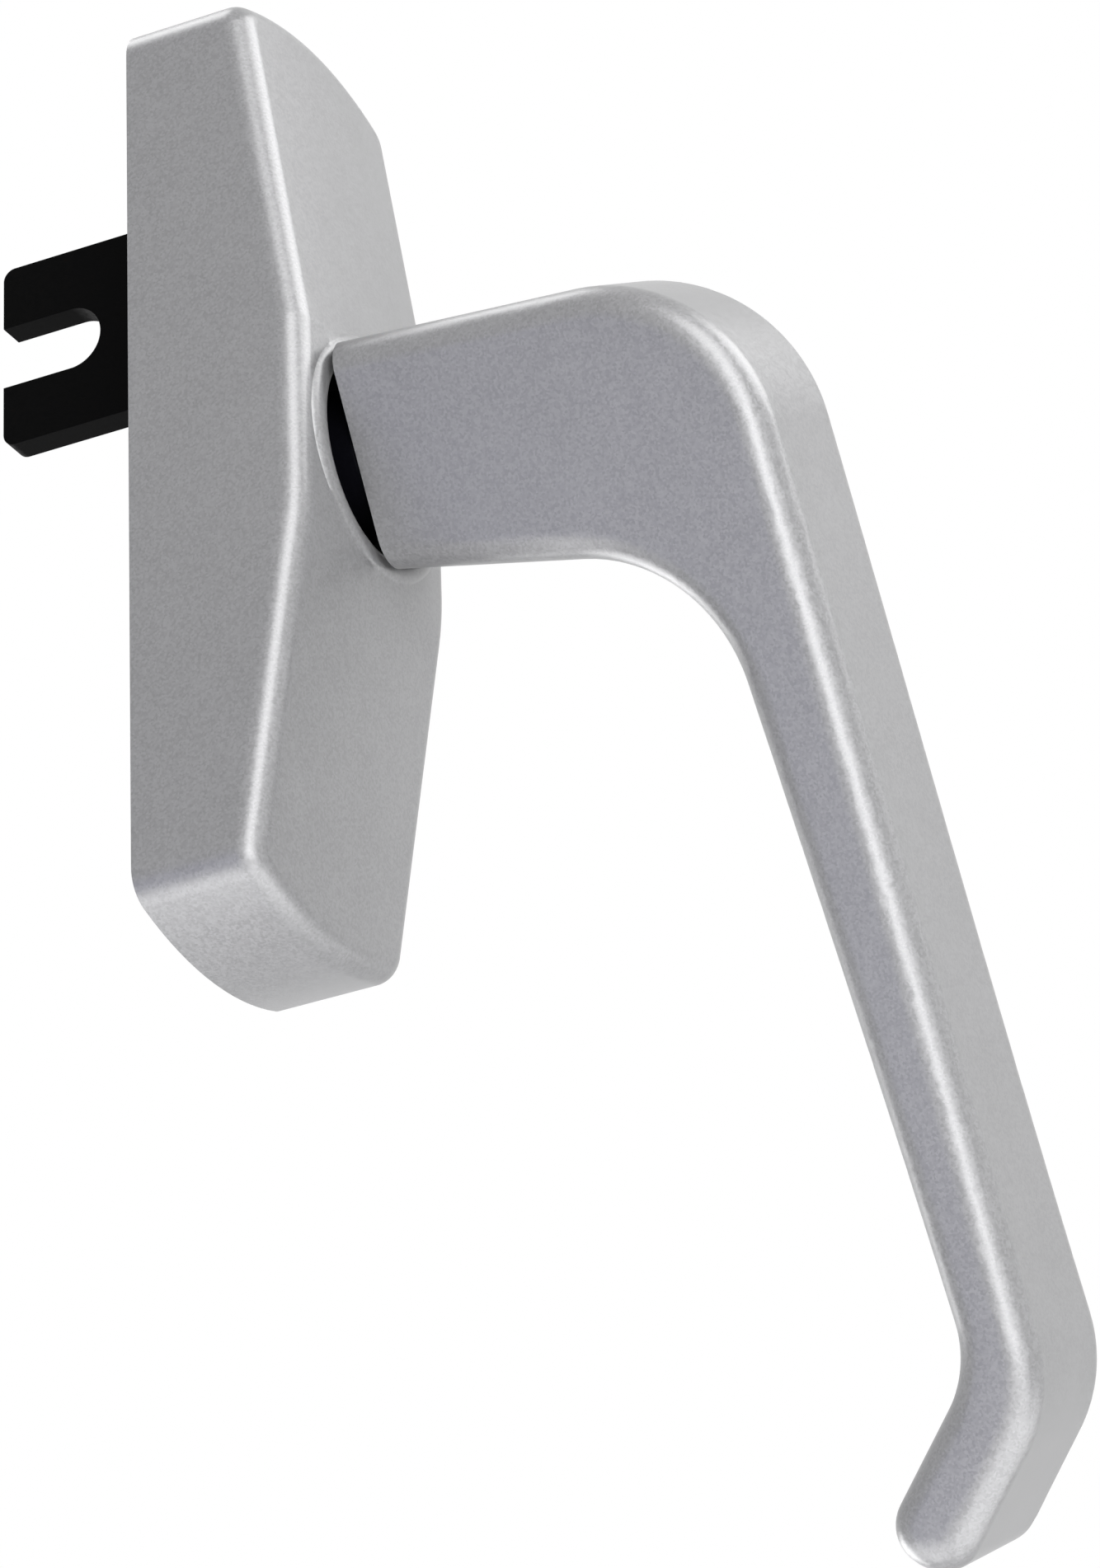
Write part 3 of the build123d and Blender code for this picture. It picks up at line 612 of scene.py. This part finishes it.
def retaining_screw(sizes, length, radius):
    """The pan-head screw that draws the pinion onto the lever, along Z."""
    height = sizes.main_screw_head
    core, crest = sizes.main_screw_core, sizes.main_screw_crest
    profile = [(radius * across, height * down) for across, down in PAN_HEAD]
    profile.append((crest, height))
    return cross_head_screw(
        profile, length - height, radius, core, crest, sizes.main_screw_pitch
    )


def add_detent_ball(side):
    """The upper or lower detent's ball."""
    node = f"detent_ball_{side}"
    low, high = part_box(node)
    ball = bmesh.new()
    bmesh.ops.create_icosphere(
        ball, subdivisions=BALL_SUBDIVISIONS, radius=(high.z - low.z) / 2
    )
    ball.transform(Matrix.Translation((low + high) / 2))
    add_piece(ball, f"{side}_ball", "bearing_steel", "housing", node)


def add_detent_spring(side, wire, turns):
    """The upper or lower detent's coiled spring, of a wire radius and a number of turns."""
    node = f"detent_spring_{side}"
    low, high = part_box(node)
    middle = (low + high) / 2
    coil = (high.x - low.x) / 2 - wire
    rise = high.z - low.z - 2 * wire
    steps = COIL_STEPS * turns
    spring = bmesh.new()
    bmesh.ops.create_circle(spring, cap_ends=True, segments=WIRE_SEGMENTS, radius=wire)
    spring.transform(Matrix.Translation((coil, 0, 0)) @ Matrix.Rotation(pi / 2, 4, "X"))
    bmesh.ops.spin(
        spring, geom=spring.verts[:] + spring.edges[:] + spring.faces[:], cent=(0, 0, 0),
        axis=(0, 0, 1), dvec=(0, 0, rise / steps), angle=tau * turns, steps=steps,
    )
    bmesh.ops.holes_fill(spring, edges=spring.edges)
    bmesh.ops.recalc_face_normals(spring, faces=spring.faces)
    spring.transform(Matrix.Translation((middle.x, middle.y, low.z + wire)))
    add_piece(spring, f"{side}_spring", "bearing_steel", "housing", node)


class HANDLE_OT_castings(bpy.types.Operator):
    """Makes the lacquered housing and lever"""

    bl_idname = "handle.castings"
    bl_label = "Castings"

    def execute(self, context):
        for node in ("housing", "lever"):
            piece = add_piece(merged_copy(node), f"{node}_casting", "silver_casting", node, node)
            even_shading(piece)
        return {"FINISHED"}


class HANDLE_OT_bush(bpy.types.Operator):
    """Makes the nylon bush in the housing's neck"""

    bl_idname = "handle.bush"
    bl_label = "Neck bush"

    def execute(self, context):
        width = context.scene.handle_sizes.moulded_edge
        edged_piece("neck_bush", "neck_bush_moulding", "black_nylon", "housing", width)
        return {"FINISHED"}


class HANDLE_OT_fork(bpy.types.Operator):
    """Makes the stamped drive fork and its rack slider"""

    bl_idname = "handle.fork"
    bl_label = "Fork and rack"

    def execute(self, context):
        width = context.scene.handle_sizes.stamped_edge
        edged_piece("drive_fork", "drive_fork_stamping", "black_steel", "slider", width)
        edged_piece("rack_slider", "rack_slider_bar", "black_steel", "slider", width)
        return {"FINISHED"}


class HANDLE_OT_back_plate(bpy.types.Operator):
    """Makes the zinc-plated back plate and its screws"""

    bl_idname = "handle.back_plate"
    bl_label = "Back plate and screws"

    def execute(self, context):
        sizes = context.scene.handle_sizes
        width = sizes.machined_edge
        edged_piece("back_plate", "back_plate_sheet", "zinc_plated_steel", "housing", width)
        low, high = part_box("back_plate_screws")
        head = sizes.plate_screw_head
        screws = bmesh.new()
        for x in (low.x + head, high.x - head):
            for z in (low.z + head, high.z - head):
                screw = plate_screw(sizes, high.y - low.y)
                screw.transform(into_housing(x, 0.0, z))
                mesh = bpy.data.meshes.new("screw")
                screw.to_mesh(mesh)
                screw.free()
                screws.from_mesh(mesh)
                bpy.data.meshes.remove(mesh)
        piece = add_piece(
            screws, "plate_screws", "zinc_plated_steel", "housing", "back_plate_screws"
        )
        even_shading(piece)
        return {"FINISHED"}


class HANDLE_OT_detents(bpy.types.Operator):
    """Makes the two detent balls and their springs"""

    bl_idname = "handle.detents"
    bl_label = "Detents"

    def execute(self, context):
        sizes = context.scene.handle_sizes
        for side in ("upper", "lower"):
            add_detent_ball(side)
            add_detent_spring(side, sizes.spring_wire, sizes.spring_turns)
        return {"FINISHED"}


class HANDLE_OT_drive(bpy.types.Operator):
    """Makes the spindle, pinion, washers and retaining screw"""

    bl_idname = "handle.drive"
    bl_label = "Spindle and pinion"

    def execute(self, context):
        sizes = context.scene.handle_sizes
        width = sizes.machined_edge
        edged_piece("spindle", "square_spindle", "bearing_steel", "lever", width)
        edged_piece("pinion", "sintered_pinion", "sintered_steel", "lever", width)
        edged_piece("thrust_washer", "thrust_ring", "bearing_steel", "lever", width)
        edged_piece("retaining_washer", "screw_washer", "zinc_plated_steel", "lever", width)
        low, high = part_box("retaining_screw")
        screw = retaining_screw(sizes, high.y - low.y, (high.x - low.x) / 2)
        screw.transform(into_housing(0.0, high.y, 0.0))
        piece = add_piece(
            screw, "pan_head_screw", "zinc_plated_steel", "lever", "retaining_screw"
        )
        even_shading(piece)
        return {"FINISHED"}


def aimed_lamp(name, aim, direction, distance, width, height, power, colour):
    """A rectangular soft lamp that looks at a point from a direction and isn't seen itself."""
    light = bpy.data.lights.new(name, "AREA")
    light.shape = "RECTANGLE"
    light.size = width
    light.size_y = height
    light.energy = power
    light.color = colour
    lamp = bpy.data.objects.new(name, light)
    towards = Vector(direction).normalized()
    lamp.location = Vector(aim) + towards * distance
    lamp.rotation_euler = towards.to_track_quat("Z", "Y").to_euler()
    lamp.visible_camera = False
    bpy.context.scene.collection.objects.link(lamp)


def seen_directly(tree):
    """One for rays that see a thing by eye, in a mirror or through glass, none for its light."""
    path = add_node(tree, "ShaderNodeLightPath").outputs
    seen = path["Is Camera Ray"]
    for ray in ("Is Glossy Ray", "Is Transmission Ray"):
        seen = add_node(
            tree, "ShaderNodeMath", {0: seen, 1: path[ray]}, operation="MAXIMUM"
        ).outputs["Value"]
    return seen


def studio_room(stage):
    """A white room to the eye and in reflections, and a softer fill light on matt surfaces."""
    world = bpy.data.worlds.new("studio_room")
    world.use_nodes = True
    tree = world.node_tree
    tree.nodes.clear()
    fill = add_node(
        tree, "ShaderNodeBackground", {"Color": opaque(stage.fill), "Strength": stage.fill_level}
    ).outputs["Background"]
    white = add_node(
        tree, "ShaderNodeBackground", {"Color": opaque(WHITE), "Strength": 1.0}
    ).outputs["Background"]
    both = add_node(
        tree, "ShaderNodeMixShader", {0: seen_directly(tree), 1: fill, 2: white}
    ).outputs["Shader"]
    add_node(tree, "ShaderNodeOutputWorld", {"Surface": both})
    bpy.context.scene.world = world


def floor_paint(stage):
    """Matt pale paint, which shows pale by its own level because the lamps point at the handle."""
    material, tree = empty_material("pale_studio_floor")
    colour = opaque(stage.floor)
    matt = add_node(
        tree, "ShaderNodeBsdfPrincipled", {"Base Color": colour, "Roughness": 0.9}
    ).outputs["BSDF"]
    level = add_node(
        tree, "ShaderNodeMath", {0: seen_directly(tree), 1: stage.floor_level},
        operation="MULTIPLY",
    ).outputs["Value"]
    pale = add_node(
        tree, "ShaderNodeEmission", {"Color": colour, "Strength": level}
    ).outputs["Emission"]
    # The lit paint is added to that level, so the floor keeps the handle's shadow.
    both = add_node(tree, "ShaderNodeAddShader", {0: matt, 1: pale}).outputs["Shader"]
    add_node(tree, "ShaderNodeOutputMaterial", {"Surface": both})
    return material


def studio_floor(stage):
    """A wide pale floor well below the handle, because the view comes from below."""
    bm = bmesh.new()
    bmesh.ops.create_grid(bm, x_segments=4, y_segments=4, size=FLOOR_REACH)
    bmesh.ops.translate(bm, verts=bm.verts, vec=(0.0, 0.0, -stage.floor_drop))
    mesh = bpy.data.meshes.new("studio_floor")
    bm.to_mesh(mesh)
    bm.free()
    mesh.materials.append(floor_paint(stage))
    ground = bpy.data.objects.new("studio_floor", mesh)
    bpy.context.scene.collection.objects.link(ground)


def photo_camera(stage):
    """The camera that looks at the handle as the photo does, from the left and from below."""
    view = bpy.data.cameras.new("photo_view")
    view.lens = stage.lens
    view.clip_start = stage.distance * VIEW_START
    camera = bpy.data.objects.new("photo_view", view)
    ahead = Vector((
        sin(stage.azimuth) * cos(stage.elevation),
        cos(stage.azimuth) * cos(stage.elevation),
        sin(stage.elevation),
    ))
    place = Matrix.Translation(Vector(stage.aim) - ahead * stage.distance)
    turn = Matrix.Rotation(-stage.azimuth, 4, "Z")
    rise = Matrix.Rotation(pi / 2 + stage.elevation, 4, "X")
    roll = Matrix.Rotation(stage.roll, 4, "Z")
    camera.matrix_world = place @ (turn @ rise) @ roll
    bpy.context.scene.collection.objects.link(camera)
    return camera


class HANDLE_OT_stage(bpy.types.Operator):
    """Makes the floor, the light and the camera"""

    bl_idname = "handle.stage"
    bl_label = "Studio"

    def execute(self, context):
        scene = context.scene
        stage = scene.handle_stage
        studio_room(stage)
        studio_floor(stage)
        for name, placing in LAMPS.items():
            power = getattr(stage, f"{name}_level")
            colour = stage.cool if name == COOL_LAMP else WHITE
            aimed_lamp(f"{name}_lamp", stage.aim, *placing, power, colour)
        scene.camera = photo_camera(stage)
        scene.view_settings.view_transform = "Standard"
        return {"FINISHED"}


class HANDLE_PT_sidebar(bpy.types.Panel):
    """Lists the handle's pieces and settings"""

    bl_idname = "HANDLE_PT_sidebar"
    bl_label = "Window Handle"
    bl_space_type = "VIEW_3D"
    bl_region_type = "UI"
    bl_category = "Handle"

    def draw(self, context):
        for operator in OPERATORS:
            self.layout.operator(operator.bl_idname)
        for group in GROUPS:
            box = self.layout.box()
            settings = getattr(context.scene, group)
            for name in settings.bl_rna.properties.keys():
                if name not in {"rna_type", "name"}:
                    box.prop(settings, name)


GROUPS = {
    "handle_finishes": HandleFinishes,
    "handle_sizes": HandleSizes,
    "handle_stage": HandleStage,
}
OPERATORS = (
    HANDLE_OT_castings,
    HANDLE_OT_bush,
    HANDLE_OT_fork,
    HANDLE_OT_back_plate,
    HANDLE_OT_detents,
    HANDLE_OT_drive,
    HANDLE_OT_stage,
)


def register():
    for group in GROUPS.values():
        bpy.utils.register_class(group)
    for name, group in GROUPS.items():
        setattr(bpy.types.Scene, name, PointerProperty(type=group))
    for operator in OPERATORS:
        bpy.utils.register_class(operator)
    bpy.utils.register_class(HANDLE_PT_sidebar)


def unregister():
    bpy.utils.unregister_class(HANDLE_PT_sidebar)
    for operator in reversed(OPERATORS):
        bpy.utils.unregister_class(operator)
    for name, group in reversed(GROUPS.items()):
        delattr(bpy.types.Scene, name)
        bpy.utils.unregister_class(group)


def main():
    register()
    bpy.ops.handle.castings()
    bpy.ops.handle.bush()
    bpy.ops.handle.fork()
    bpy.ops.handle.back_plate()
    bpy.ops.handle.detents()
    bpy.ops.handle.drive()
    bpy.ops.handle.stage()
    bpy.context.view_layer.update()


if __name__ == "__main__":
    main()
